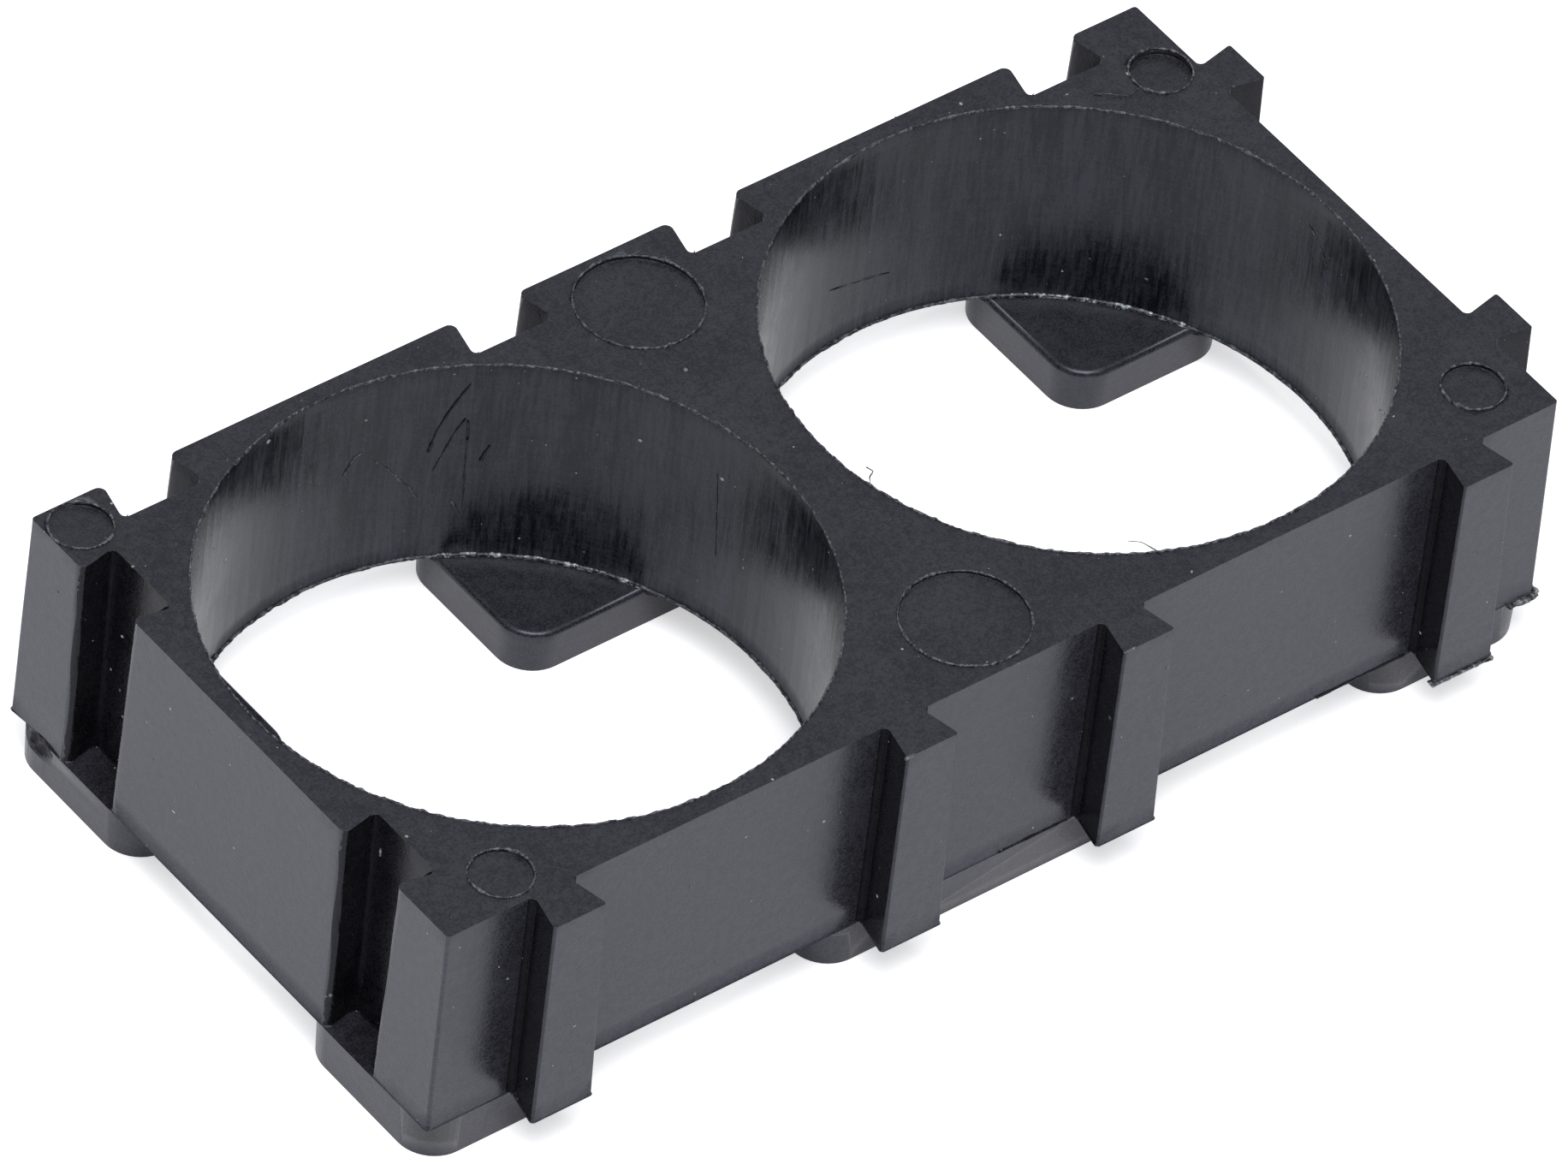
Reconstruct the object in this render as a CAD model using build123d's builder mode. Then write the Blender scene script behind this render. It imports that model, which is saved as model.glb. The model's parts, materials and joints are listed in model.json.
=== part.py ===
"""Holder bracket for two cylindrical battery cells, moulded in one piece.

The origin is at the middle of the overall box, on the plane that the feet stand on.
X runs along the two cells, Y across them, and the cells leave upwards, along +Z.
Ribs stand on the -Y and +X sides, and the grooves that take a neighbour's ribs are
in the +Y and -X sides.
"""
import os
from math import radians, tan

from build123d import *

# ---- cells -----------------------------------------------------------------
BORE_DIAMETER = 18.5        # takes a cell of 18.2 to 18.4
WEB = 1.75                  # plastic between the two bores
CELL_COUNT = 2

# ---- block -----------------------------------------------------------------
BLOCK_HEIGHT = 7.7          # from the top of the feet to the top face
NEIGHBOUR_GAP = 0.25        # left between two holders that are clipped together
BLOCK_DRAFT = 0.7           # degrees, the block narrows towards its top face
CORNER_ROUND = 0.15

# ---- feet, which are also the cell stops -----------------------------------
FOOT_HEIGHT = 1.5
STRIP_CHANNEL = 8.0         # clear width under each cell for the contact strip
FOOT_ROUND = 1.25
FOOT_DRAFT = 2.0            # degrees, the feet narrow towards the floor

# ---- dovetails -------------------------------------------------------------
DOVETAIL_FROM_EDGE = 3.9    # from a cell's boundary with its neighbour to a dovetail's middle
RIB_REACH = 1.35            # how far a rib stands out of the block
LONG_RIB_NECK = 1.65        # width at the block, at the lower end
LONG_RIB_HEAD = 2.25        # width at the outer face, at the lower end
END_RIB_NECK = 1.55
END_RIB_HEAD = 2.1
LONG_GROOVE_MOUTH = 1.8
LONG_GROOVE_FLOOR = 2.4
LONG_GROOVE_DEPTH = 1.35
END_GROOVE_MOUTH = 1.85
END_GROOVE_FLOOR = 2.35
END_GROOVE_DEPTH = 1.2
RIB_DRAFT = 0.9             # degrees
GROOVE_DRAFT = 1.2          # degrees, the grooves open towards the top face
RIB_HEAD_ROUND = 0.12
RIB_NECK_ROUND = 0.15
GROOVE_FLOOR_ROUND = 0.15
GROOVE_MOUTH_ROUND = 0.28
NEAR = 0.05                 # how close an edge's end lies to the corner it belongs to
CLIMBING = 0.9              # least upward part of the direction of an edge that climbs the block
ROOT_OVERLAP = 0.5          # how far an outline runs past its neck, into or out of the block

# ---- ejector pin marks on the top face -------------------------------------
PIN_MARK_DEPTH = 0.08
LARGE_PIN_DIAMETER = 3.8
SMALL_PIN_DIAMETER = 1.85
LARGE_PIN_FROM_FACE = 2.25  # centre, from the long face at the top
PIN_INSET_BACK_LEFT = (1.05, 1.05)    # centres, from the block's corners at the top
PIN_INSET_FRONT_LEFT = (2.8, 1.25)
PIN_INSET_FRONT_RIGHT = (1.75, 1.85)
PIN_INSET_BACK_RIGHT = (1.15, 2.65)

# ---- sizes worked out from those above -------------------------------------
pitch = BORE_DIAMETER + WEB
length = CELL_COUNT * pitch - NEIGHBOUR_GAP
width = pitch - NEIGHBOUR_GAP
top_of_block = FOOT_HEIGHT + BLOCK_HEIGHT
block_lean = BLOCK_HEIGHT * tan(radians(BLOCK_DRAFT))
top_length = length - 2 * block_lean
top_width = width - 2 * block_lean

# the block's middle, off the origin by half a rib, because the ribs are on two sides only
middle_x = -RIB_REACH / 2
middle_y = RIB_REACH / 2
left, right = middle_x - length / 2, middle_x + length / 2
front, back = middle_y - width / 2, middle_y + width / 2
top_left, top_right = middle_x - top_length / 2, middle_x + top_length / 2
top_front, top_back = middle_y - top_width / 2, middle_y + top_width / 2

cell_xs = [middle_x + (n - (CELL_COUNT - 1) / 2) * pitch for n in range(CELL_COUNT)]
dovetail_offset = pitch / 2 - DOVETAIL_FROM_EDGE
long_dovetail_xs = [x + side * dovetail_offset for x in cell_xs for side in (-1, 1)]
end_dovetail_ys = [middle_y + side * dovetail_offset for side in (-1, 1)]

foot_width = width / 2 - STRIP_CHANNEL / 2
corner_foot_length = (length - (CELL_COUNT - 1) * pitch - STRIP_CHANNEL) / 2
middle_foot_length = pitch - STRIP_CHANNEL
foot_ys = [middle_y + side * (width - foot_width) / 2 for side in (-1, 1)]
corner_foot_places = [
    (middle_x + side * (length - corner_foot_length) / 2, y) for side in (-1, 1) for y in foot_ys
]
middle_foot_places = [(x + pitch / 2, y) for x in cell_xs[:-1] for y in foot_ys]

block_corners = [Location((x, y)) for x in (left, right) for y in (front, back)]
long_rib_places = [Location((x, front), 180) for x in long_dovetail_xs]
end_rib_places = [Location((right, y), -90) for y in end_dovetail_ys]
long_groove_places = [Location((x, back), 180) for x in long_dovetail_xs]
end_groove_places = [Location((left, y), -90) for y in end_dovetail_ys]


def dovetail(neck, head, reach, root):
    """Outline with its neck at the place's own line and its wide head at y = reach."""
    flare = (head - neck) / 2 / reach
    root_half = neck / 2 - flare * root
    Polygon((-root_half, -root), (root_half, -root), (head / 2, reach), (-head / 2, reach), align=None)


def corners(places, half_width, reach):
    """Points half_width to each side of the places, and reach beyond them, at the feet's tops."""
    return [place * Location((side * half_width, reach)) for place in places for side in (-1, 1)]


def uprights(part, places):
    """Edges that climb the block from the given places."""
    starts = [Vector(place.position.X, place.position.Y, FOOT_HEIGHT) for place in places]
    return [
        edge
        for edge in part.edges()
        if abs((edge % 0.5).Z) > CLIMBING
        and any(min((edge @ 0 - start).length, (edge @ 1 - start).length) < NEAR for start in starts)
    ]


rib_neck_corners = corners(long_rib_places, LONG_RIB_NECK / 2, 0) + corners(
    end_rib_places, END_RIB_NECK / 2, 0
)
rib_head_corners = corners(long_rib_places, LONG_RIB_HEAD / 2, RIB_REACH) + corners(
    end_rib_places, END_RIB_HEAD / 2, RIB_REACH
)
groove_mouth_corners = corners(long_groove_places, LONG_GROOVE_MOUTH / 2, 0) + corners(
    end_groove_places, END_GROOVE_MOUTH / 2, 0
)
groove_floor_corners = corners(
    long_groove_places, LONG_GROOVE_FLOOR / 2, LONG_GROOVE_DEPTH
) + corners(end_groove_places, END_GROOVE_FLOOR / 2, END_GROOVE_DEPTH)

large_pin_places = [
    (x + pitch / 2, y)
    for x in cell_xs[:-1]
    for y in (top_front + LARGE_PIN_FROM_FACE, top_back - LARGE_PIN_FROM_FACE)
]
small_pin_places = [
    (top_left + PIN_INSET_BACK_LEFT[0], top_back - PIN_INSET_BACK_LEFT[1]),
    (top_left + PIN_INSET_FRONT_LEFT[0], top_front + PIN_INSET_FRONT_LEFT[1]),
    (top_right - PIN_INSET_FRONT_RIGHT[0], top_front + PIN_INSET_FRONT_RIGHT[1]),
    (top_right - PIN_INSET_BACK_RIGHT[0], top_back - PIN_INSET_BACK_RIGHT[1]),
]


with BuildPart() as cell_holder:
    # block
    with BuildSketch(Plane.XY.offset(FOOT_HEIGHT)):
        with Locations((middle_x, middle_y)):
            Rectangle(length, width)
    extrude(amount=BLOCK_HEIGHT, taper=BLOCK_DRAFT)
    fillet(uprights(cell_holder, block_corners), CORNER_ROUND)

    # ribs, on the front side and on the right end
    with BuildSketch(Plane.XY.offset(FOOT_HEIGHT)):
        with Locations(*long_rib_places):
            dovetail(LONG_RIB_NECK, LONG_RIB_HEAD, RIB_REACH, ROOT_OVERLAP)
        with Locations(*end_rib_places):
            dovetail(END_RIB_NECK, END_RIB_HEAD, RIB_REACH, ROOT_OVERLAP)
    extrude(amount=BLOCK_HEIGHT, taper=RIB_DRAFT)
    fillet(uprights(cell_holder, rib_neck_corners), RIB_NECK_ROUND)
    fillet(uprights(cell_holder, rib_head_corners), RIB_HEAD_ROUND)

    # grooves, in the back side and in the left end
    with BuildSketch(Plane.XY.offset(FOOT_HEIGHT)):
        with Locations(*long_groove_places):
            dovetail(LONG_GROOVE_MOUTH, LONG_GROOVE_FLOOR, LONG_GROOVE_DEPTH, ROOT_OVERLAP)
        with Locations(*end_groove_places):
            dovetail(END_GROOVE_MOUTH, END_GROOVE_FLOOR, END_GROOVE_DEPTH, ROOT_OVERLAP)
    extrude(amount=BLOCK_HEIGHT, taper=-GROOVE_DRAFT, mode=Mode.SUBTRACT)
    fillet(uprights(cell_holder, groove_floor_corners), GROOVE_FLOOR_ROUND)
    fillet(uprights(cell_holder, groove_mouth_corners), GROOVE_MOUTH_ROUND)

    # bores
    with Locations(*[(x, middle_y, top_of_block) for x in cell_xs]):
        Hole(BORE_DIAMETER / 2, depth=BLOCK_HEIGHT)

    # feet, flush with the block's lower outline, which reach under the cells
    with BuildSketch(Plane.XY.offset(FOOT_HEIGHT)):
        with Locations(*corner_foot_places):
            RectangleRounded(corner_foot_length, foot_width, FOOT_ROUND)
        with Locations(*middle_foot_places):
            RectangleRounded(middle_foot_length, foot_width, FOOT_ROUND)
    extrude(amount=-FOOT_HEIGHT, taper=FOOT_DRAFT)

    # ejector pin marks
    with BuildSketch(Plane.XY.offset(top_of_block)):
        with Locations(*large_pin_places):
            Circle(LARGE_PIN_DIAMETER / 2)
        with Locations(*small_pin_places):
            Circle(SMALL_PIN_DIAMETER / 2)
    extrude(amount=-PIN_MARK_DEPTH, mode=Mode.SUBTRACT)

cell_holder.part.label = "cell_holder"
os.makedirs("parts", exist_ok=True)
export_step(cell_holder.part, "parts/cell_holder.step")
print("cell_holder", cell_holder.part.bounding_box(), cell_holder.part.volume)
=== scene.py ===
"""Looks of a two-cell battery holder bracket, moulded in one piece from black plastic.

The moulding is made from the frame's own solid: its edges are softened, its faces get the
slight unevenness of a cheap moulding, and the burrs, flash and dust of the real one are added.
"""
import json
import math

import bmesh
import bpy
from mathutils import Matrix, Vector, noise


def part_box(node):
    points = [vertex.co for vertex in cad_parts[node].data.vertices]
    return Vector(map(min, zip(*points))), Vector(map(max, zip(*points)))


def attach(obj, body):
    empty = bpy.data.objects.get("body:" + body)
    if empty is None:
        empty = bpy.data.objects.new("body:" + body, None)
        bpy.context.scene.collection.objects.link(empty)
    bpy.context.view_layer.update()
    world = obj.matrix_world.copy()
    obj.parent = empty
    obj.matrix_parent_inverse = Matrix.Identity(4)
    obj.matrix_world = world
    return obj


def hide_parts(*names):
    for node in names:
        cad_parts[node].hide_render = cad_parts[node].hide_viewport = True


MM = 0.001

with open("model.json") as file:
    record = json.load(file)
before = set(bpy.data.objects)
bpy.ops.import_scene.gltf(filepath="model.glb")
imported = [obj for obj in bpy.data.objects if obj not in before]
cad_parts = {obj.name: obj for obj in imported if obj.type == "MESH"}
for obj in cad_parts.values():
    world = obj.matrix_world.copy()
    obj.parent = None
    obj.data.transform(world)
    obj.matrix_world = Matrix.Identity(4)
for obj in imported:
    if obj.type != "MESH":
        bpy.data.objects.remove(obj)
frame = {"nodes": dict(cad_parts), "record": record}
scene = bpy.context.scene
bpy.context.view_layer.update()
cad_holder = frame["nodes"]["cell_holder"]
mounts = {mount["name"]: mount for mount in frame["record"]["mounts"]}
low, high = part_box("cell_holder")

# ---- places and sizes, from the frame ---------------------------------------
bores = [Vector(mounts[name]["pos_m"]) for name in ("bore_left", "bore_right")]
BORE_RADIUS = mounts["bore_left"]["dims"]["r_mm"] * MM
BORE_DEPTH = 7.7 * MM
TOP = high.z
FOOT_TOP = TOP - BORE_DEPTH
MIDDLE = (bores[0] + bores[1]) / 2
RIB_REACH = 1.35 * MM
RIB_FROM_BORE = 6.225 * MM
RIB_HALF = 1.125 * MM
BLOCK_LEFT, BLOCK_RIGHT = low.x, high.x - RIB_REACH
BLOCK_FRONT, BLOCK_BACK = low.y + RIB_REACH, high.y
FOOT_FIRST_DEGREES = 26     # where the feet begin under a bore's wall, from each axis
long_ribs = [bore.x + side * RIB_FROM_BORE for bore in bores for side in (-1, 1)]
end_ribs = [MIDDLE.y + side * RIB_FROM_BORE for side in (-1, 1)]
LARGE_PIN, SMALL_PIN = 1.9 * MM, 0.925 * MM
pin_marks = [
    # x, y, radius, and how much deeper than the frame's mark it is pressed
    (MIDDLE.x, BLOCK_FRONT + 2.344 * MM, LARGE_PIN, 0.0),
    (MIDDLE.x, BLOCK_BACK - 2.344 * MM, LARGE_PIN, 0.02 * MM),
    (BLOCK_LEFT + 1.144 * MM, BLOCK_BACK - 1.144 * MM, SMALL_PIN, 0.04 * MM),
    (BLOCK_LEFT + 2.894 * MM, BLOCK_FRONT + 1.344 * MM, SMALL_PIN, 0.0),
    (BLOCK_RIGHT - 1.844 * MM, BLOCK_FRONT + 1.944 * MM, SMALL_PIN, 0.02 * MM),
    (BLOCK_RIGHT - 1.244 * MM, BLOCK_BACK - 2.744 * MM, SMALL_PIN, 0.12 * MM),
]

# ---- camera ------------------------------------------------------------------
VIEW_AZIMUTH = 42.38        # degrees round to the left of the front
VIEW_ELEVATION = 44.15
VIEW_TILT = 6.95
VIEW_DISTANCE = 555.96 * MM
LENS = 445.4
LOOK_AT = Vector((-0.998, 0.405, 4.6)) * MM

# ---- finish of the moulding ----------------------------------------------------
INSET = 0.03 * MM           # the faces above the parting line lie this much inside the feet's
BURR_ROOM = 0.04 * MM       # the top face lies this much lower still, and the burrs rise to the box
LOWERED_TOP = TOP - BURR_ROOM - INSET
PARTING_STEP = 0.03 * MM
HOLLOW_FROM = 0.3 * MM      # side faces this far inside the block's outline are a groove's
EDGE_ROUND = 0.05 * MM
LEDGE_ROUND = 0.18 * MM     # on the feet's edges, inside the bores
EDGE_BAND = 0.15 * MM       # how near the top or the floor an edge lies to be softened
SHARP = math.radians(50)
SMOOTH = math.radians(35)
CUT_SPACING = 0.9 * MM      # faces are cut this finely, so that they can be uneven
UNEVEN = 0.02 * MM
UNEVEN_SIZE = 3.5 * MM

SHEEN = (0.84, 0.85, 1.0, 1)  # the plastic's gloss is slightly blue
SMUDGE_AND_SHADE = (0.003, 0.003, 0.004)
side_smudges_and_dent_shade = [
    (Vector((-7.1 * MM, BLOCK_FRONT, 7.3 * MM)), 0.3 * MM),
    (Vector((-9.8 * MM, BLOCK_FRONT, 8.2 * MM)), 0.25 * MM),
    (Vector((BLOCK_LEFT, 0.0, 4.4 * MM)), 0.35 * MM),
    # painted shade of the dent in the back foot
    (Vector((BLOCK_LEFT, BLOCK_BACK - 1.5 * MM, FOOT_TOP - 0.45 * MM)), 0.45 * MM),
]
FOOT_DENT = Vector((BLOCK_LEFT, BLOCK_BACK - 1.35 * MM, FOOT_TOP - 0.3 * MM))
DENT_REACH = Vector((0.35, 0.85, 0.42)) * MM
DENT_DEPTH = 0.2 * MM
DENT_SHADED = 0.85            # the part of the dent's reach that gets the painted shade of the hollow finish
DENT_CUTS = 6               # on each side of the dent's middle

# dark and pale shade of each finish, between which its grain varies
SKIN = (0.012, 0.012, 0.016), (0.034, 0.034, 0.043)
TOP_SKIN = (0.008, 0.008, 0.010), (0.026, 0.026, 0.032)
# painted shade for the grooves, the ribs' flanks and the dent
SHADED_HOLLOW_SKIN = (0.003, 0.003, 0.004), (0.011, 0.011, 0.014)
# darker painted shade for the ribs' roots and the grooves' rounded corners
SHADED_CREASE_SKIN = (0.002, 0.002, 0.003), (0.01, 0.01, 0.013)
BORE_SKIN = (0.002, 0.003, 0.005), (0.03, 0.034, 0.043)
# pale, partly painted highlight on the bores' rims
BURR_HIGHLIGHT_SHADES = (0.012, 0.012, 0.015), (0.15, 0.15, 0.17)
# pale, partly painted highlight on the pin ridges
PIN_RIDGE_HIGHLIGHT_SHADES = (0.012, 0.012, 0.015), (0.15, 0.15, 0.16)
# pale, painted glints on the foot beads
FOOT_BEAD_GLINT_SHADES = (0.01, 0.011, 0.013), (0.52, 0.57, 0.6)
# pale, partly painted highlight on the flash
FLASH_HIGHLIGHT_SHADES = (0.02, 0.02, 0.024), (0.3, 0.3, 0.31)
# painted shadow along the parting line
PARTING_SHADOW_SHADES = (0.001, 0.001, 0.001), (0.012, 0.012, 0.015)
CORNER_BIT_SHADES = (0.04, 0.04, 0.044), (0.22, 0.22, 0.22)
SWARF_SHADES = (0.01, 0.01, 0.013), (0.14, 0.14, 0.15)
DARK_MARK_SHADES = (0.001, 0.001, 0.001), (0.01, 0.01, 0.013)
PALE_MARK_SHADES = (0.02, 0.02, 0.024), (0.14, 0.14, 0.16)
DUST_SHADES = (0.06, 0.06, 0.065), (0.38, 0.38, 0.36)

DUST_DENSITY = 0.35 / MM**2
DUST_GRAIN = 0.04 * MM

# ---- floor and light -------------------------------------------------------------
FLOOR_HALF = 400 * MM
FLOOR_BELOW = 0.01 * MM     # keeps the floor out of the plane of the feet's undersides
FLOOR_COLOUR = (0.85, 0.85, 0.87, 1)
FLOOR_GLOW = 0.5            # added to the paper where the camera sees it
FLOOR_GLOW_IN_GLOSS = 0.35
ROOM_COLOUR = (0.5, 0.51, 0.53, 1)
LAMP_PLACE, LAMP_SIZE, LAMP_POWER = Vector((-0.1, -0.15, 0.5)), 0.35, 2.2


def add_camera():
    """The camera, looking down on the holder's front and left end, slightly tilted."""
    azimuth, elevation = math.radians(VIEW_AZIMUTH), math.radians(VIEW_ELEVATION)
    back = Vector(
        (
            -math.sin(azimuth) * math.cos(elevation),
            -math.cos(azimuth) * math.cos(elevation),
            math.sin(elevation),
        )
    )
    data = bpy.data.cameras.new("camera")
    data.lens = LENS
    data.clip_start, data.clip_end = 0.05, 10
    camera = bpy.data.objects.new("camera", data)
    turn = (-back).to_track_quat("-Z", "Y").to_matrix()
    turn = turn @ Matrix.Rotation(math.radians(VIEW_TILT), 3, "Z")
    camera.matrix_world = Matrix.Translation(LOOK_AT + back * VIEW_DISTANCE) @ turn.to_4x4()
    scene.collection.objects.link(camera)
    scene.camera = camera


# ---- node trees ----------------------------------------------------------------
def node(tree, kind, settings=None, **inputs):
    """Adds a node; an input is a value or the socket that feeds it, by its name or number."""
    made = tree.nodes.new(kind)
    for name, value in (settings or {}).items():
        setattr(made, name, value)
    for name, value in inputs.items():
        socket = made.inputs[int(name[1:])] if name[0] == "_" else made.inputs[name.replace("_", " ")]
        if isinstance(value, bpy.types.NodeSocket):
            tree.links.new(value, socket)
        else:
            socket.default_value = value
    return made


def calculate(tree, operation, *values):
    """The result of one Math node."""
    inputs = {f"_{i}": value for i, value in enumerate(values)}
    return node(tree, "ShaderNodeMath", {"operation": operation}, **inputs).outputs[0]


def spread(tree, value, from_low, from_high, to_low=0.0, to_high=1.0):
    """Spreads a value from one range over another, with soft ends."""
    return node(
        tree, "ShaderNodeMapRange", {"interpolation_type": "SMOOTHSTEP"},
        Value=value, From_Min=from_low, From_Max=from_high, To_Min=to_low, To_Max=to_high,
    ).outputs[0]


def speckle(tree, place, size, detail=2.0, roughness=0.5):
    """Noise with features about as large as size."""
    return node(
        tree, "ShaderNodeTexNoise", Vector=place, Scale=1 / size, Detail=detail, Roughness=roughness
    ).outputs[0]


def mix_colour(tree, factor, first, second):
    """A colour between two, each a colour or the socket that gives one."""
    first, second = [c if isinstance(c, bpy.types.NodeSocket) else (*c, 1) for c in (first, second)]
    return node(tree, "ShaderNodeMix", {"data_type": "RGBA"}, _0=factor, _6=first, _7=second).outputs[2]


def blended(tree, *parts):
    """The sum of values, each times its own share."""
    total = 0.0
    for value, share in parts:
        total = calculate(tree, "MULTIPLY_ADD", value, share, total)
    return total


def new_material(name):
    """An empty material and its node tree."""
    material = bpy.data.materials.new(name)
    material.use_nodes = True
    material.node_tree.nodes.clear()
    return material, material.node_tree


def finish_plastic(tree, colour, rough, normal, ior=1.5):
    """Ends a material with the plastic's shader."""
    shader = node(
        tree, "ShaderNodeBsdfPrincipled", Base_Color=colour, Roughness=rough, IOR=ior,
        Specular_Tint=SHEEN, Normal=normal,
    )
    node(tree, "ShaderNodeOutputMaterial", Surface=shader.outputs[0])


def smudged_and_shaded(tree, place, colour, smudges_and_shade):
    """Dark smears, each a centre and a size; the last on the sides is painted shade of the dent in the
    back foot.
    """
    ragged = speckle(tree, place, 0.5 * MM, 4.0, 0.7)
    for centre, size in smudges_and_shade:
        away = node(
            tree, "ShaderNodeVectorMath", {"operation": "DISTANCE"}, _0=place, _1=centre
        ).outputs["Value"]
        reach = calculate(tree, "MULTIPLY_ADD", ragged, size * 1.6, away)
        dark = spread(tree, reach, size * 1.6, size * 0.8, 0.0, 0.75)
        colour = mix_colour(tree, dark, colour, SMUDGE_AND_SHADE)
    return colour


def moulded_plastic(name, shades, gloss, grain_height, ior=1.5, smudges_and_shade=()):
    """A face as it comes from the mould: fine grain, with duller and glossier clouds."""
    material, tree = new_material(name)
    place = node(tree, "ShaderNodeTexCoord").outputs["Object"]
    grain = speckle(tree, place, 0.075 * MM, 2.0, 0.6)
    pebbles = speckle(tree, place, 0.28 * MM, 3.0, 0.6)
    clouds = speckle(tree, place, 2.2 * MM, 5.0, 0.6)
    tone = blended(tree, (grain, 0.5), (pebbles, 0.3), (clouds, 0.2))
    colour = smudged_and_shaded(tree, place, mix_colour(tree, spread(tree, tone, 0.38, 0.62), *shades), smudges_and_shade)
    rough = calculate(
        tree, "ADD", spread(tree, clouds, 0.3, 0.7, *gloss), spread(tree, grain, 0.3, 0.7, -0.05, 0.05)
    )
    relief = blended(tree, (grain, 0.6), (pebbles, 0.6))
    bump = node(tree, "ShaderNodeBump", Strength=1.0, Distance=grain_height, Height=relief).outputs[0]
    finish_plastic(tree, colour, rough, bump, ior)
    return material


def bore_plastic():
    """The bore walls: glossier, drawn out along the bore by the mould's core."""
    material, tree = new_material("bore_plastic")
    place = node(tree, "ShaderNodeTexCoord").outputs["Object"]
    parts = node(tree, "ShaderNodeSeparateXYZ", Vector=place).outputs
    from_middle = calculate(tree, "SUBTRACT", parts["X"], MIDDLE.x)
    side = calculate(tree, "SIGN", from_middle)
    to_its_bore = calculate(tree, "MULTIPLY", side, bores[1].x - MIDDLE.x)
    from_bore = calculate(tree, "SUBTRACT", from_middle, to_its_bore)
    across = calculate(tree, "SUBTRACT", parts["Y"], MIDDLE.y)
    around = calculate(tree, "MULTIPLY", calculate(tree, "ARCTAN2", across, from_bore), BORE_RADIUS)
    drawn = node(
        tree, "ShaderNodeCombineXYZ", X=around, Y=calculate(tree, "MULTIPLY", parts["Z"], 0.09),
        Z=calculate(tree, "MULTIPLY", side, 0.02),
    ).outputs[0]
    wiped = node(
        tree, "ShaderNodeCombineXYZ", X=calculate(tree, "MULTIPLY", around, 0.12), Y=parts["Z"],
        Z=calculate(tree, "MULTIPLY", side, 0.02),
    ).outputs[0]
    streaks = speckle(tree, drawn, 0.16 * MM, 5.0, 0.75)
    wisps = speckle(tree, wiped, 0.2 * MM, 4.0, 0.7)
    bands = speckle(tree, drawn, 0.9 * MM, 3.0, 0.6)
    clouds = speckle(tree, place, 1.6 * MM, 5.0, 0.65)
    grain = speckle(tree, place, 0.08 * MM, 2.0, 0.6)
    tone = blended(tree, (streaks, 0.4), (bands, 0.2), (wisps, 0.1), (grain, 0.15), (clouds, 0.15))
    colour = mix_colour(tree, spread(tree, tone, 0.42, 0.58), *BORE_SKIN)
    rough = calculate(
        tree, "ADD", spread(tree, streaks, 0.25, 0.75, 0.15, 0.25),
        spread(tree, clouds, 0.3, 0.7, -0.02, 0.08),
    )
    relief = blended(tree, (streaks, 1.0), (bands, 1.5), (wisps, 0.3), (grain, 0.25))
    bump = node(tree, "ShaderNodeBump", Strength=1.0, Distance=0.0055 * MM, Height=relief).outputs[0]
    finish_plastic(tree, colour, rough, bump, 1.38)
    return material


def torn_plastic(name, shades, rough):
    """Thin torn edges, which are greyer; the pale shade of the burrs, pin ridges, foot beads and flash
    is partly painted highlight, and the dark shade of the parting line is painted shadow.
    """
    material, tree = new_material(name)
    place = node(tree, "ShaderNodeTexCoord").outputs["Object"]
    torn = speckle(tree, place, 0.15 * MM, 4.0, 0.7)
    colour = mix_colour(tree, spread(tree, torn, 0.42, 0.66), *shades)
    bump = node(tree, "ShaderNodeBump", Strength=1.0, Distance=0.02 * MM, Height=torn).outputs[0]
    finish_plastic(tree, colour, rough, bump)
    return material


def dust():
    """Pale grains of dust."""
    material, tree = new_material("dust")
    place = node(tree, "ShaderNodeTexCoord").outputs["Object"]
    tint = spread(tree, speckle(tree, place, 1.0 * MM), 0.35, 0.65)
    finish_plastic(tree, mix_colour(tree, tint, *DUST_SHADES), 0.8, (0, 0, 0))
    return material


def floor_paper():
    """Plain white paper; it shows white, also in the gloss, and keeps the holder's shadow."""
    material, tree = new_material("floor_paper")
    rays = node(tree, "ShaderNodeLightPath").outputs
    seen = blended(
        tree, (rays["Is Camera Ray"], FLOOR_GLOW), (rays["Is Glossy Ray"], FLOOR_GLOW_IN_GLOSS)
    )
    diffuse = node(tree, "ShaderNodeBsdfDiffuse", Color=FLOOR_COLOUR).outputs[0]
    glow = node(tree, "ShaderNodeEmission", Color=(1, 1, 1, 1), Strength=seen).outputs[0]
    both = node(tree, "ShaderNodeAddShader", _0=diffuse, _1=glow).outputs[0]
    node(tree, "ShaderNodeOutputMaterial", Surface=both)
    return material


# ---- pieces ---------------------------------------------------------------------
def add_piece(name, mesh, *materials):
    """Shows a mesh as a piece, with the materials that its faces' finishes number."""
    finishes = [polygon.material_index for polygon in mesh.polygons]
    mesh.name = name
    mesh.materials.clear()      # which also forgets the faces' finishes
    for material in materials:
        mesh.materials.append(material)
    mesh.polygons.foreach_set("material_index", finishes)
    piece = bpy.data.objects.new(name, mesh)
    scene.collection.objects.link(piece)
    return piece


SIDE, FLAT, BORE, SHADED_HOLLOW, SHADED_CREASE, WORN = range(6)    # the moulding's finishes; the hollow and crease finishes are painted shade


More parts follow.
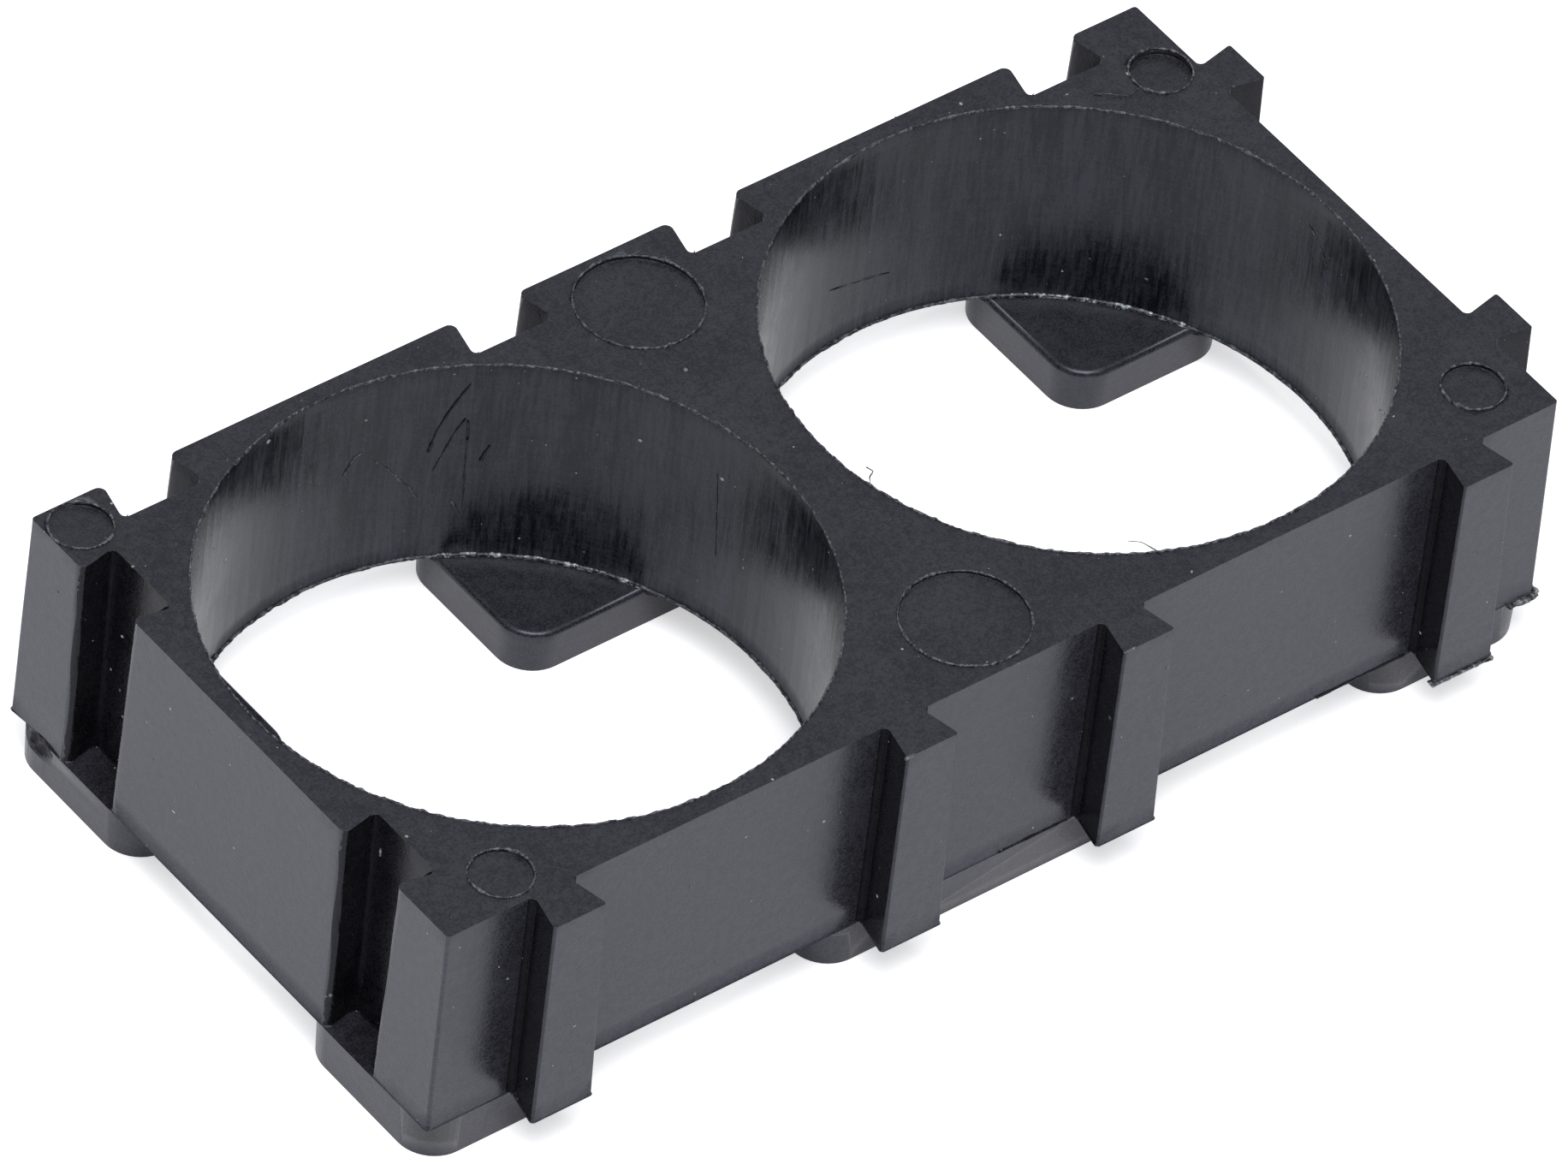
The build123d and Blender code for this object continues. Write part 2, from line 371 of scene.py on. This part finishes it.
def finish_of(face):
    """Which finish a face has, by where it lies and where it looks."""
    centre, normal = face.calc_center_median(), face.normal
    to_bore = min((bore.xy - centre.xy).length for bore in bores)
    # the dent's middle gets the painted shade of the hollow finish
    if away_from_dent(centre) < DENT_SHADED:
        return SHADED_HOLLOW
    if normal.z > 0.7:
        return SIDE if centre.z < FOOT_TOP + EDGE_BAND else FLAT
    if centre.z < FOOT_TOP + PARTING_STEP / 2 or abs(normal.z) > 0.3:
        return SIDE
    if to_bore < BORE_RADIUS + INSET + UNEVEN + EDGE_ROUND:
        return BORE
    from_long_rib = min(abs(centre.x - rib) for rib in long_ribs)
    from_end_rib = min(abs(centre.y - rib) for rib in end_ribs)
    for depth, behind, from_rib, along in (
        (BLOCK_FRONT - centre.y, BLOCK_BACK - centre.y, from_long_rib, abs(normal.x)),
        (centre.x - BLOCK_RIGHT, centre.x - BLOCK_LEFT, from_end_rib, abs(normal.y)),
    ):
        # the ribs' flanks, roots and outer edges, then the rounded mouths of the grooves opposite; the
        # flanks and mouths get painted shade as the hollow finish, the roots as the crease finish
        if along > 0.96 and depth > 0:
            return SHADED_HOLLOW
        if -0.2 * MM < depth and from_rib < RIB_HALF + 0.1 * MM and 0.1 < along < 0.96:
            return SHADED_CREASE if depth < RIB_REACH / 2 else WORN
        if behind < 0.5 * MM and from_rib < RIB_HALF + 0.2 * MM and along > 0.4:
            return SHADED_HOLLOW
    if (
        BLOCK_LEFT + HOLLOW_FROM < centre.x < BLOCK_RIGHT - HOLLOW_FROM
        and BLOCK_FRONT + HOLLOW_FROM < centre.y < BLOCK_BACK - HOLLOW_FROM
    ):
        # a groove's floor and flanks look along one axis, its rounded corners between two; all get
        # painted shade, the floor and flanks as the hollow finish, the corners as the crease finish
        return SHADED_CREASE if min(abs(normal.x), abs(normal.y)) > 0.3 else SHADED_HOLLOW
    return SIDE


def as_mesh(holder):
    """The mesh that an object's modifiers make."""
    bpy.context.view_layer.update()
    return bpy.data.meshes.new_from_object(
        holder.evaluated_get(bpy.context.evaluated_depsgraph_get())
    )


def evened(mesh):
    """The mesh with normals that follow its large faces."""
    holder = bpy.data.objects.new("evened", mesh)
    scene.collection.objects.link(holder)
    modifier = holder.modifiers.new("evened", "WEIGHTED_NORMAL")
    modifier.mode, modifier.keep_sharp, modifier.weight = "FACE_AREA_WITH_ANGLE", True, 80
    result = as_mesh(holder)
    bpy.data.objects.remove(holder)
    return result


def along_axis(axis):
    """The unit vector of an axis."""
    normal = Vector((0, 0, 0))
    normal[axis] = 1
    return normal


def cut(shape, faces, place, normal):
    """Cuts some of a shape's faces along a plane."""
    edges = {e for f in faces for e in f.edges}
    verts = {v for f in faces for v in f.verts}
    bmesh.ops.bisect_plane(
        shape, geom=[*verts, *edges, *faces], dist=0.0005 * MM, plane_co=place, plane_no=normal
    )


def cut_finely(shape):
    """Cuts the faces above the parting line along planes a little apart."""
    def above(floor):
        return [f for f in shape.faces if min(v.co.z for v in f.verts) > floor]

    cut(shape, above(FOOT_TOP - 0.001 * MM), (0, 0, FOOT_TOP + PARTING_STEP), along_axis(2))
    for axis in range(3):
        steps = int((high[axis] - low[axis]) / CUT_SPACING)
        for step in range(1, steps):
            place = low.copy()
            place[axis] += (high[axis] - low[axis]) * (step + 0.37) / steps
            cut(shape, above(FOOT_TOP + PARTING_STEP / 2), place, along_axis(axis))


def away_from_dent(place):
    """How far a place lies from the dent's middle, 1 at its rim."""
    away = place - FOOT_DENT
    return Vector([away[axis] / DENT_REACH[axis] for axis in range(3)]).length


def on_dented_face(face):
    """Whether a face lies on the back foot's side at the left end."""
    away = face.calc_center_median() - FOOT_DENT
    return (
        face.normal.x < -0.9 and abs(away.x) < 0.3 * MM and abs(away.y) < 2 * MM
        and face.calc_center_median().z < FOOT_TOP
    )


def dent(shape):
    """Presses a ragged hollow into the back foot's face at the left end."""
    for axis in (1, 2):
        for step in range(-DENT_CUTS, DENT_CUTS + 1):
            place = FOOT_DENT.copy()
            place[axis] += DENT_REACH[axis] * step / DENT_CUTS
            cut(shape, [f for f in shape.faces if on_dented_face(f)], place, along_axis(axis))
    for vertex in shape.verts:
        away = away_from_dent(vertex.co)
        if away < 1:
            ragged = 1 + 0.8 * noise.noise(vertex.co / (0.3 * MM))
            vertex.co.x += DENT_DEPTH * (1 - away * away) * ragged


def from_bores(vertex):
    """A vertex's level distance from the nearer bore's middle."""
    return min((bore.xy - vertex.co.xy).length for bore in bores)


def is_rim(edge):
    """Whether an edge is a sharp one at the top."""
    return (
        edge.is_manifold and edge.calc_face_angle() > SHARP
        and min(v.co.z for v in edge.verts) > TOP - EDGE_BAND
    )


def is_ledge(edge):
    """Whether an edge is a foot's own, inside a bore."""
    return (
        edge.is_manifold and edge.calc_face_angle_signed() > SHARP
        and max(abs(v.co.z - FOOT_TOP) for v in edge.verts) < 0.01 * MM
        and min(from_bores(v) for v in edge.verts) < BORE_RADIUS - 0.01 * MM
        and max(from_bores(v) for v in edge.verts) < BORE_RADIUS + 0.01 * MM
    )


def rounded(shape, edges, size, clamped):
    """Rounds some of a shape's edges."""
    bmesh.ops.bevel(
        shape, geom=edges, offset=size, offset_type="OFFSET", segments=3, profile=0.5,
        affect="EDGES", clamp_overlap=clamped,
    )


def moulding():
    """The block with its ribs, grooves and feet, edges softened and faces slightly uneven."""
    mesh = cad_holder.data.copy()
    shape = bmesh.new()
    shape.from_mesh(mesh)
    bmesh.ops.remove_doubles(shape, verts=shape.verts, dist=0.0001 * MM)
    bmesh.ops.dissolve_limit(
        shape, angle_limit=math.radians(0.05), verts=shape.verts, edges=shape.edges
    )
    rounded(shape, [e for e in shape.edges if is_rim(e)], EDGE_ROUND, False)
    for vertex in shape.verts:
        if vertex.co.z > TOP - EDGE_BAND:
            vertex.co.z -= BURR_ROOM
    rounded(shape, [e for e in shape.edges if is_ledge(e)], LEDGE_ROUND, True)
    cut_finely(shape)
    dent(shape)
    shape.normal_update()
    moves = {}
    for vertex in shape.verts:
        if vertex.co.z > FOOT_TOP + PARTING_STEP / 2:
            swell = 0.5 + 0.5 * noise.noise(vertex.co / UNEVEN_SIZE)
            moves[vertex] = vertex.normal * (INSET + swell * UNEVEN)
    for vertex, move in moves.items():
        vertex.co -= move
    for x, y, radius, deeper in pin_marks:
        for vertex in shape.verts:
            sunk = FOOT_TOP < vertex.co.z < TOP - 2 * BURR_ROOM
            if sunk and math.hypot(vertex.co.x - x, vertex.co.y - y) < radius + EDGE_ROUND:
                vertex.co.z -= deeper
    for face in shape.faces:
        face.smooth = True
        face.material_index = finish_of(face)
    shape.to_mesh(mesh)
    shape.free()
    mesh.set_sharp_from_angle(angle=SMOOTH)
    # each with the range of its roughness, the height of its grain and its index of refraction
    side = moulded_plastic("side_plastic", SKIN, (0.25, 0.33), 0.007 * MM, 1.53, side_smudges_and_dent_shade)
    top = moulded_plastic("top_plastic", TOP_SKIN, (0.34, 0.44), 0.018 * MM)
    # the hollow and crease finishes are painted shade in the grooves, the ribs' flanks and roots and
    # the dent: dark shades and a low index of refraction
    hollow = moulded_plastic("shaded_hollow_plastic", SHADED_HOLLOW_SKIN, (0.2, 0.28), 0.008 * MM, 1.3)
    crease = moulded_plastic("shaded_crease_plastic", SHADED_CREASE_SKIN, (0.4, 0.5), 0.015 * MM, 1.15)
    worn = moulded_plastic("worn_edge_plastic", SKIN, (0.4, 0.5), 0.012 * MM, 1.42)
    return add_piece("moulding", evened(mesh), side, top, bore_plastic(), hollow, crease, worn)


# ---- geometry nodes ---------------------------------------------------------------
def new_tree(name, sizes):
    """A geometry tree with one named input for each size."""
    tree = bpy.data.node_groups.new(name, "GeometryNodeTree")
    tree.interface.new_socket("Geometry", in_out="INPUT", socket_type="NodeSocketGeometry")
    for size, kind in sizes.items():
        tree.interface.new_socket(size, in_out="INPUT", socket_type="NodeSocket" + kind)
    tree.interface.new_socket("Geometry", in_out="OUTPUT", socket_type="NodeSocketGeometry")
    return tree, tree.nodes.new("NodeGroupInput").outputs


def end_tree(tree, geometry, material):
    real = node(tree, "GeometryNodeRealizeInstances", Geometry=geometry).outputs[0]
    painted = node(tree, "GeometryNodeSetMaterial", Geometry=real, Material=material).outputs[0]
    node(tree, "NodeGroupOutput", Geometry=painted)
    return tree


def bead_tree():
    """A ragged bead of plastic along a path, thick in places and nearly gone in others."""
    tree, given = new_tree(
        "ragged_bead",
        {
            "Step": "Float", "Width": "Float", "Height": "Float", "Least": "Float",
            "Wander": "Float", "Lump": "Float", "Seed": "Float", "Material": "Material",
        },
    )
    curve = node(tree, "GeometryNodeMeshToCurve", Mesh=given["Geometry"]).outputs[0]
    curve = node(
        tree, "GeometryNodeResampleCurve", {"mode": "LENGTH"}, Curve=curve, Length=given["Step"]
    ).outputs[0]
    place = node(tree, "GeometryNodeInputPosition").outputs[0]
    fineness = calculate(tree, "DIVIDE", 1.0, given["Lump"])
    lumps = node(
        tree, "ShaderNodeTexNoise", {"noise_dimensions": "4D"}, Vector=place, W=given["Seed"],
        Scale=fineness, Detail=3.0, Roughness=0.6,
    ).outputs
    wander = node(
        tree, "ShaderNodeVectorMath", {"operation": "SUBTRACT"}, _0=lumps["Color"], _1=(0.5, 0.5, 0.5)
    ).outputs[0]
    wander = node(
        tree, "ShaderNodeVectorMath", {"operation": "SCALE"}, _0=wander, Scale=given["Wander"]
    ).outputs[0]
    curve = node(tree, "GeometryNodeSetPosition", Geometry=curve, Offset=wander).outputs[0]
    thick = node(
        tree, "ShaderNodeMapRange", Value=lumps[0], From_Min=0.38, From_Max=0.68,
        To_Min=given["Least"], To_Max=1.0,
    ).outputs[0]
    curve = node(tree, "GeometryNodeSetCurveNormal", {"mode": "Z_UP"}, Curve=curve).outputs[0]
    profile = node(tree, "GeometryNodeCurvePrimitiveCircle", Resolution=6, Radius=0.5).outputs[0]
    flat = node(tree, "ShaderNodeCombineXYZ", X=given["Height"], Y=given["Width"], Z=1.0).outputs[0]
    profile = node(tree, "GeometryNodeTransform", Geometry=profile, Scale=flat).outputs[0]
    bead = node(
        tree, "GeometryNodeCurveToMesh", Curve=curve, Profile_Curve=profile, Scale=thick, Fill_Caps=True
    ).outputs[0]
    return end_tree(tree, bead, given["Material"])


def dust_tree():
    """Grains of dust scattered over a surface."""
    tree, given = new_tree(
        "dust_grains", {"Density": "Float", "Grain": "Float", "Seed": "Int", "Material": "Material"}
    )
    points = node(
        tree, "GeometryNodeDistributePointsOnFaces", Mesh=given["Geometry"], Density=given["Density"],
        Seed=given["Seed"],
    ).outputs
    ball = node(tree, "GeometryNodeMeshIcoSphere", Radius=given["Grain"], Subdivisions=1).outputs[0]
    shape = node(
        tree, "FunctionNodeRandomValue", {"data_type": "FLOAT_VECTOR"}, _0=(0.6, 0.5, 0.2),
        _1=(1.2, 1.0, 0.5), Seed=given["Seed"],
    ).outputs[0]
    other_seed = calculate(tree, "ADD", given["Seed"], 1.0)
    chance = node(tree, "FunctionNodeRandomValue", Seed=other_seed).outputs[1]
    growth = calculate(tree, "MULTIPLY_ADD", calculate(tree, "POWER", chance, 5.0), 1.8, 0.5)
    size = node(tree, "ShaderNodeVectorMath", {"operation": "SCALE"}, _0=shape, Scale=growth).outputs[0]
    grains = node(
        tree, "GeometryNodeInstanceOnPoints", Points=points["Points"], Instance=ball,
        Rotation=points["Rotation"], Scale=size,
    ).outputs[0]
    return end_tree(tree, grains, given["Material"])


def grown(mesh, tree, **sizes):
    """The plain mesh that a geometry tree makes from a mesh."""
    holder = bpy.data.objects.new("grown", mesh)
    scene.collection.objects.link(holder)
    modifier = holder.modifiers.new("grown", "NODES")
    modifier.node_group = tree
    for socket in tree.interface.items_tree:
        if socket.in_out == "INPUT" and socket.name in sizes:
            modifier[socket.identifier] = sizes[socket.name]
    result = as_mesh(holder)
    holder.modifiers.clear()
    bpy.data.objects.remove(holder)
    return result


def path(points, closed=False):
    """A mesh of edges from point to point."""
    mesh = bpy.data.meshes.new("path")
    links = [(i, i + 1) for i in range(len(points) - 1)]
    if closed:
        links.append((len(points) - 1, 0))
    mesh.from_pydata([tuple(p) for p in points], links, [])
    return mesh


def ring(x, y, z, radius):
    """A level circle as a closed path."""
    count = max(48, int(radius / (0.05 * MM)))
    turns = [math.tau * i / count for i in range(count)]
    return path([(x + radius * math.cos(t), y + radius * math.sin(t), z) for t in turns], closed=True)


def joined(meshes):
    """The meshes as one smooth mesh, which keeps inside the holder's box."""
    whole = bmesh.new()
    for mesh in meshes:
        whole.from_mesh(mesh)
    for vertex in whole.verts:
        for axis in range(3):
            vertex.co[axis] = min(max(vertex.co[axis], low[axis]), high[axis])
    result = bpy.data.meshes.new("joined")
    whole.to_mesh(result)
    whole.free()
    for polygon in result.polygons:
        polygon.use_smooth = True
    return result


def on_wall(bore, degrees, height):
    """A point on a bore's wall, degrees round from +X."""
    turn, radius = math.radians(degrees), BORE_RADIUS + INSET
    return Vector((bore.x + radius * math.cos(turn), bore.y + radius * math.sin(turn), height))


def ragged(tree, material, way, width, height, least, wander, lump, seed):
    """A ragged bead along a path.

    Width, height, wander and lump are in millimetres, and least is the share of the bead's
    size that is left where it is thinnest.
    """
    return grown(
        way, tree, Step=min(0.07, lump / 5) * MM, Width=width * MM, Height=height * MM, Least=least,
        Wander=wander * MM, Lump=lump * MM, Seed=float(seed), Material=material,
    )


def burrs(tree):
    """Torn lips round the bores' ends, their pale shade partly painted highlight."""
    material = torn_plastic("burr_highlight_plastic", BURR_HIGHLIGHT_SHADES, 0.4)
    made = []
    for number, bore in enumerate(bores):
        upper = ring(bore.x, bore.y, LOWERED_TOP - 0.02 * MM, BORE_RADIUS + INSET + 0.02 * MM)
        lower = ring(bore.x, bore.y, FOOT_TOP + 0.06 * MM, BORE_RADIUS + 0.02 * MM)
        made.append(ragged(tree, material, upper, 0.17, 0.1, 0.4, 0.1, 0.3, 3 + number))
        made.append(ragged(tree, material, lower, 0.16, 0.22, 0.4, 0.1, 0.35, 7 + number))
    return add_piece("burrs", joined(made), material)


def pin_ridges(tree):
    """Low ridges pushed up round the ejector pin marks, their pale shade partly painted highlight."""
    material = torn_plastic("pin_ridge_highlight_plastic", PIN_RIDGE_HIGHLIGHT_SHADES, 0.4)
    made = []
    for number, (x, y, radius, deeper) in enumerate(pin_marks):
        way = ring(x, y, LOWERED_TOP, radius + 0.03 * MM)
        made.append(ragged(tree, material, way, 0.19, 0.14, 0.2, 0.06, 0.4, 11 + number))
    return add_piece("pin_ridges", joined(made), material)


def foot_beads(tree):
    """Glossy torn beads where the bores' walls meet the feet, their pale shade painted glints."""
    material = torn_plastic("foot_bead_glint_plastic", FOOT_BEAD_GLINT_SHADES, 0.2)
    made = []
    for number, bore in enumerate(bores):
        for quarter in range(4):
            first = 90 * quarter + FOOT_FIRST_DEGREES
            step = (90 - 2 * FOOT_FIRST_DEGREES) / 12
            points = [on_wall(bore, first + i * step, FOOT_TOP + 0.03 * MM) for i in range(13)]
            seed = 20 + 4 * number + quarter
            made.append(ragged(tree, material, path(points), 0.26, 0.24, 0.4, 0.07, 0.4, seed))
    return add_piece("foot_beads", joined(made), material)


def flash(tree):
    """Thin torn lips that squeezed out of the mould along the parting line, their pale shade partly
    painted highlight.
    """
    material = torn_plastic("flash_highlight_plastic", FLASH_HIGHLIGHT_SHADES, 0.3)
    rib, face = long_ribs[3], low.y + 0.05 * MM
    corner = BLOCK_RIGHT - INSET

    def lip(start, end, *sizes):
        points = [(x, y, FOOT_TOP + z * MM) for x, y, z in (start, end)]
        return ragged(tree, material, path(points), *sizes)

    made = [
        # under the right-hand rib, hanging from its lower edge, with a nub at the end
        lip(
            (rib - RIB_HALF, face, -0.16), (rib + RIB_HALF, face, -0.18),
            0.12, 0.66, 0.55, 0.06, 0.6, 31,
        ),
        lip(
            (rib - 0.6 * RIB_HALF, face + 0.08 * MM, -0.24), (rib + RIB_HALF, face + 0.05 * MM, -0.26),
            0.16, 0.24, 0.25, 0.12, 0.4, 32,
        ),
        lip(
            (rib + 0.75 * RIB_HALF, face, -0.15), (rib + 1.02 * RIB_HALF, face, -0.24),
            0.22, 0.4, 0.5, 0.06, 0.5, 33,
        ),
        # at the front right-hand corner
        lip(
            (corner - 1.0 * MM, BLOCK_FRONT, -0.08), (corner + 0.1 * MM, BLOCK_FRONT, -0.12),
            0.18, 0.46, 0.35, 0.08, 0.5, 35,
        ),
        lip(
            (corner + 0.05 * MM, BLOCK_FRONT - 0.05 * MM, 0), (corner, BLOCK_FRONT + 1.2 * MM, -0.03),
            0.22, 0.26, 0.2, 0.08, 0.5, 36,
        ),
    ]
    return add_piece("flash", joined(made), material)


def parting_shadow_line(tree):
    """A thin dark line along the front, where the block meets the feet: painted shadow under the
    block's lower edge.
    """
    material = torn_plastic("parting_shadow_line_plastic", PARTING_SHADOW_SHADES, 0.5)
    y, z = BLOCK_FRONT - 0.01 * MM, FOOT_TOP + 0.02 * MM
    made = []
    for number, (rib, reach, wide) in enumerate(((long_ribs[2], 3.6, 0.07), (long_ribs[3], 4.4, 0.12))):
        way = path([(rib - reach * MM, y, z), (rib - RIB_HALF, y, z)])
        made.append(ragged(tree, material, way, wide, wide, 0.3, 0.04, 0.5, 37 + number))
    return add_piece("parting_shadow_line", joined(made), material)


def corner_bits(tree):
    """Pale torn bits at the tops of two ribs and of a groove."""
    material = torn_plastic("corner_bit_plastic", CORNER_BIT_SHADES, 0.45)
    edge = low.y + 0.17 * MM

    def bit(x, y, along, across, below_top, *sizes):
        place = Vector((x, y, TOP - below_top * MM))
        way = path([place, place + Vector((along, across, 0)) * MM])
        return ragged(tree, material, way, *sizes)

    made = [
        bit(long_ribs[1] - RIB_HALF + 0.14 * MM, edge, 0.34, 0.0, 0.1, 0.16, 0.12, 0.5, 0.08, 0.3, 41),
        bit(long_ribs[2] - RIB_HALF + 0.22 * MM, edge, 0.42, 0.0, 0.1, 0.14, 0.1, 0.5, 0.08, 0.3, 42),
        bit(BLOCK_LEFT + 0.5 * MM, end_ribs[0], 0.16, 0.2, 0.14, 0.1, 0.08, 0.5, 0.05, 0.2, 43),
    ]
    return add_piece("corner_bits", joined(made), material)


def swarf(tree):
    """Hairs of plastic that still hang on the rims."""
    material = torn_plastic("swarf_plastic", SWARF_SHADES, 0.4)
    made = []
    for number, hair in enumerate(swarf_hairs):
        way = path([(x * MM, y * MM, LOWERED_TOP + z * MM) for x, y, z in hair])
        made.append(ragged(tree, material, way, 0.06, 0.05, 0.3, 0.06, 0.25, 51 + number))
    return add_piece("swarf", joined(made), material)


def drag_marks(tree, name, shades, marks):
    """Lines that the mould's core tore in a bore's wall."""
    material = torn_plastic(name + "_plastic", shades, 0.45)
    made = []
    for number, (bore, points, wide) in enumerate(marks):
        way = path([on_wall(bore, degrees, height * MM) for degrees, height in points])
        made.append(ragged(tree, material, way, wide, wide, 0.15, 0.05, 0.5, 71 + number))
    return add_piece(name, joined(made), material)


# places of the hairs, in millimetres, with their height over the top face
swarf_hairs = [
    [(0.35, -1.25, 0.0), (0.5, -1.0, 0.05), (0.75, -0.85, 0.03), (0.7, -0.6, 0.0)],
    [(5.2, -7.0, 0.0), (5.45, -7.3, 0.06), (5.6, -7.75, 0.04), (5.75, -8.1, 0.0)],
    [(15.9, 8.2, 0.0), (16.3, 7.9, 0.04), (16.7, 7.55, 0.04), (17.3, 7.7, 0.0)],
]

# the bore, the degrees round it and the height in millimetres of each point, and the width
left_bore, right_bore = bores
dark_marks = [
    (left_bore, [(61.0, 8.4), (62.4, 8.0), (64.6, 7.3), (66.4, 6.6), (67.6, 5.8)], 0.13),
    (left_bore, [(60.9, 6.9), (60.7, 6.5), (60.6, 5.0), (60.3, 3.5)], 0.13),
    (left_bore, [(61.4, 7.0), (63.0, 6.5), (64.6, 5.8), (66.4, 5.0)], 0.1),
    (left_bore, [(56.5, 5.9), (57.4, 5.6), (57.9, 5.3)], 0.16),
    (left_bore, [(13.8, 7.3), (13.0, 5.8), (12.2, 4.2)], 0.07),
    (right_bore, [(99.0, 3.9), (92.0, 3.6), (84.5, 3.4)], 0.04),
]
pale_marks = [
    (left_bore, [(77.4, 5.8), (74.8, 5.35), (72.6, 4.85), (70.6, 4.5), (69.0, 4.0)], 0.12),
    (left_bore, [(84.0, 5.6), (82.0, 6.2), (80.6, 6.3)], 0.07),
    (left_bore, [(62.4, 3.7), (61.6, 3.5), (60.9, 3.2)], 0.12),
    (right_bore, [(5.0, 8.0), (1.0, 7.5), (-2.0, 6.9)], 0.06),
]


def dust_grains(surface):
    """Grains on the faces that look up or outwards, above the feet."""
    upper = bmesh.new()
    upper.from_mesh(surface)
    covered = [
        f for f in upper.faces if f.calc_center_median().z < FOOT_TOP or f.normal.z < -0.5
    ]
    bmesh.ops.delete(upper, geom=covered, context="FACES")
    bare = bpy.data.meshes.new("dusty_faces")
    upper.to_mesh(bare)
    upper.free()
    material = dust()
    grains = grown(
        bare, dust_tree(), Density=DUST_DENSITY, Grain=DUST_GRAIN, Seed=5, Material=material
    )
    return add_piece("dust", joined([grains]), material)


add_camera()
bead = bead_tree()
holder = moulding()
pieces = [
    holder,
    burrs(bead),
    pin_ridges(bead),
    foot_beads(bead),
    flash(bead),
    parting_shadow_line(bead),
    corner_bits(bead),
    swarf(bead),
    drag_marks(bead, "dark_drag_marks", DARK_MARK_SHADES, dark_marks),
    drag_marks(bead, "pale_drag_marks", PALE_MARK_SHADES, pale_marks),
    dust_grains(holder.data),
]
for piece in pieces:
    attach(piece, "root")
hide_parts("cell_holder")

# ---- the studio ----------------------------------------------------------------------
def add_floor():
    """The sheet of paper that the holder stands on."""
    mesh = bpy.data.meshes.new("floor")
    corners = [(-1, -1), (1, -1), (1, 1), (-1, 1)]
    points = [(x * FLOOR_HALF, y * FLOOR_HALF, -FLOOR_BELOW) for x, y in corners]
    mesh.from_pydata(points, [], [(0, 1, 2, 3)])
    add_piece("floor", mesh, floor_paper())


def add_room_light():
    """A plain grey room all round."""
    world = bpy.data.worlds.new("studio")
    world.use_nodes = True
    world.node_tree.nodes["Background"].inputs["Color"].default_value = ROOM_COLOUR
    scene.world = world


def add_lamp(name, place, size, power):
    """A square lamp that faces the holder."""
    data = bpy.data.lights.new(name, "AREA")
    data.size, data.energy = size, power
    lamp = bpy.data.objects.new(name, data)
    turn = (-place).to_track_quat("-Z", "Y").to_matrix().to_4x4()
    lamp.matrix_world = Matrix.Translation(place) @ turn
    scene.collection.objects.link(lamp)


add_floor()
add_room_light()
add_lamp("soft_box", LAMP_PLACE, LAMP_SIZE, LAMP_POWER)

scene.view_settings.view_transform = "Standard"

bpy.context.view_layer.update()
